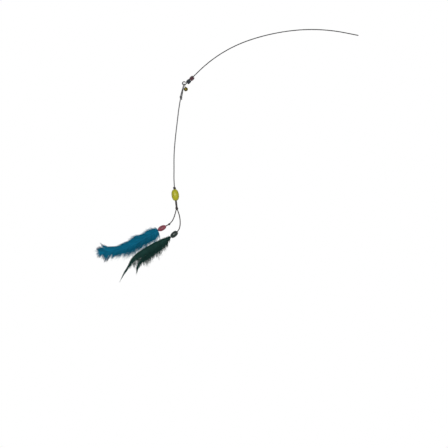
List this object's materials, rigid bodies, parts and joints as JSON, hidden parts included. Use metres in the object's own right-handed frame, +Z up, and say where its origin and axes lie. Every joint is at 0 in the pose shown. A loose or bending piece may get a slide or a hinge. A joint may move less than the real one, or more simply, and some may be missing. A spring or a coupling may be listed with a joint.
{
  "type": "cat teaser wand",
  "caption": "Cat teaser wand: a springy arched wire with threaded beads and a jingle bell, and a hanging tied cord that ends in dyed feather lures.",
  "frame": {"origin": "on the wire's axis at its grip end, where the end's rounding begins", "axes": "+Z up, +X out of the grip end in plan, -Y towards the side that the wand is looked at from. The whole wand hangs in the XZ plane"},
  "size_m": [0.4936, 0.0322, 0.476],
  "materials": {
    "blackened_steel": "satin",
    "plum_plastic": "gloss",
    "slate_plastic": "gloss",
    "ring_steel": "bright",
    "bell_brass": "aged",
    "pellet_steel": "bright",
    "grey_cord": "matte",
    "brown_cord": "matte",
    "chartreuse_wood": "satin",
    "rose_plastic": "gloss",
    "clear_glue": "matte",
    "blue_quill": "satin",
    "blue_feather": "matte",
    "dark_green_plastic": "gloss",
    "green_quill": "satin",
    "green_feather": "matte"
  },
  "bodies": {
    "wire": {"spring_wire": "blackened_steel"},
    "upper_bead": {"tri_bead_upper": "plum_plastic"},
    "lower_bead": {"tri_bead_lower": "slate_plastic"},
    "ring": {"jump_ring": "ring_steel"},
    "bell": {"bell_shank": "bell_brass", "bell_upper_cup": "bell_brass", "bell_lower_cup": "bell_brass"},
    "pellet": {"bell_pellet": "pellet_steel"},
    "hanger": {"hanger_loop": "grey_cord", "hanger_knot": "grey_cord", "hanger_tail": "grey_cord"},
    "cord": {"main_cord": "grey_cord", "gather_knot": "brown_cord", "neck_cords": "brown_cord", "split_knot": "brown_cord"},
    "slider": {"gather_bead": "chartreuse_wood"},
    "blue_branch": {"blue_branch_cord": "brown_cord", "blue_stop_knot": "brown_cord"},
    "green_branch": {"green_branch_cord": "brown_cord"},
    "blue_lure": {"pink_tip_bead": "rose_plastic", "pink_glue_plug": "clear_glue", "blue_plume_shaft": "blue_quill", "blue_plume_vane": "blue_feather"},
    "green_lure": {"green_tip_bead": "dark_green_plastic", "green_glue_plug": "clear_glue", "long_hackle_shaft": "green_quill", "long_hackle_vane": "green_feather", "short_hackle_shaft": "green_quill", "short_hackle_vane": "green_feather"}
  },
  "joints": [
    {"name": "upper_bead_spin", "type": "hinge", "parent": "wire", "child": "upper_bead", "pos_m": [-0.3164, 0, -0.08134], "axis": [0.7157, 0, 0.6984], "continuous": true},
    {"name": "lower_bead_spin", "type": "hinge", "parent": "wire", "child": "lower_bead", "pos_m": [-0.32263, 0, -0.08741], "axis": [0.7157, 0, 0.6984], "continuous": true},
    {"name": "ring_swing", "type": "hinge", "parent": "wire", "child": "ring", "pos_m": [-0.32938, 0, -0.09384], "axis": [1, 0, 0], "range_deg": [-45, 45]},
    {"name": "bell_swing", "type": "hinge", "parent": "ring", "child": "bell", "pos_m": [-0.32938, 0, -0.09673], "axis": [0, -1, 0], "range_deg": [0, 50]},
    {"name": "pellet_roll", "type": "slide", "parent": "bell", "child": "pellet", "axis": [-0.3256, 0, 0.9455], "range_m": [0, 0.0046]},
    {"name": "hanger_swing", "type": "hinge", "parent": "wire", "child": "hanger", "pos_m": [-0.33155, 0, -0.09416], "axis": [0.9763, 0, -0.2164], "range_deg": [-50, 50]},
    {"name": "cord_swing", "type": "hinge", "parent": "hanger", "child": "cord", "pos_m": [-0.33674, 0, -0.11759], "axis": [0, -1, 0], "range_deg": [-60, 60]},
    {"name": "bead_slide", "type": "slide", "parent": "cord", "child": "slider", "axis": [0.1115, 0, -0.9938], "range_m": [0, 0.012]},
    {"name": "blue_branch_swing", "type": "hinge", "parent": "cord", "child": "blue_branch", "pos_m": [-0.34474, 0, -0.32865], "axis": [0, -1, 0], "range_deg": [-35, 35], "stiffness_Nm_per_rad": 0.02, "springref_deg": -5.45},
    {"name": "green_branch_swing", "type": "hinge", "parent": "cord", "child": "green_branch", "pos_m": [-0.34474, 0, -0.32865], "axis": [0, -1, 0], "range_deg": [-35, 35], "stiffness_Nm_per_rad": 0.02, "springref_deg": -1.9},
    {"name": "blue_lure_twist", "type": "hinge", "parent": "blue_branch", "child": "blue_lure", "pos_m": [-0.38103, 0.011, -0.37019], "axis": [-0.8854, 0, -0.4648], "range_deg": [-25, 25], "stiffness_Nm_per_rad": 0.004, "springref_deg": 0},
    {"name": "green_lure_twist", "type": "hinge", "parent": "green_branch", "child": "green_lure", "pos_m": [-0.35526, -0.011, -0.3831], "axis": [-0.7581, 0, -0.6521], "range_deg": [-25, 25], "stiffness_Nm_per_rad": 0.004, "springref_deg": 0.08}
  ]
}
